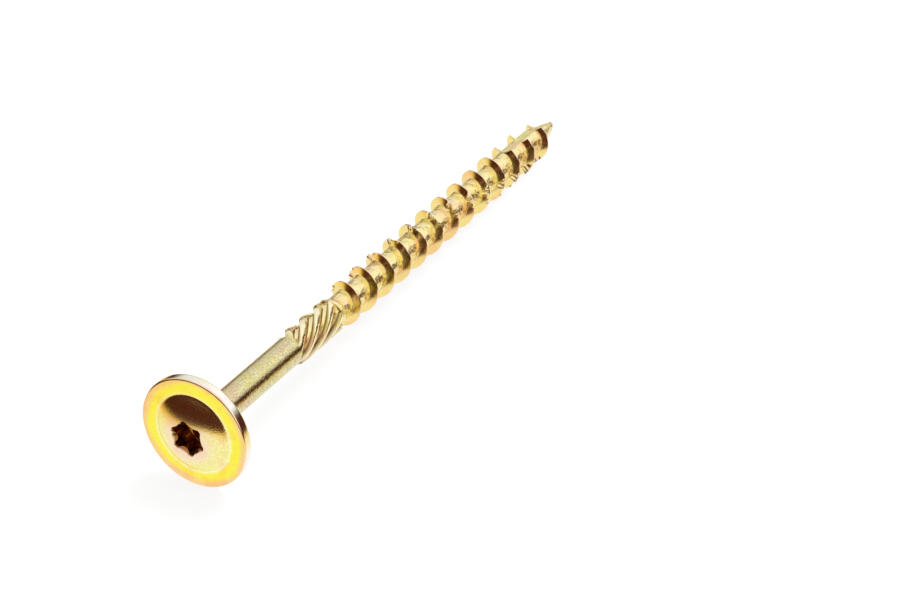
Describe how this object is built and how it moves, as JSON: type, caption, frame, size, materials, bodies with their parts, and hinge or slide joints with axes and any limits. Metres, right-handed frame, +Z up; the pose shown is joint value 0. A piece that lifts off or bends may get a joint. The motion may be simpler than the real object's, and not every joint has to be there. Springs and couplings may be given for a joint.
{
  "type": "wood screw",
  "caption": "Long wood screw with a wide flat wafer head, domed middle, six-lobe drive socket, milling flutes, coarse nicked thread and a cutting point, lying on its side.",
  "frame": {"origin": "middle of the underside of the bounding box, on the surface the screw lies on", "axes": "+X from the head towards the point, along the screw's shadow on the ground; +Z up"},
  "size_m": [0.133, 0.022, 0.022],
  "materials": {
    "yellow_zinc": "yellow passivated zinc plating, satin and faintly iridescent"
  },
  "bodies": {
    "root": {"screw": "yellow_zinc"}
  },
  "joints": []
}
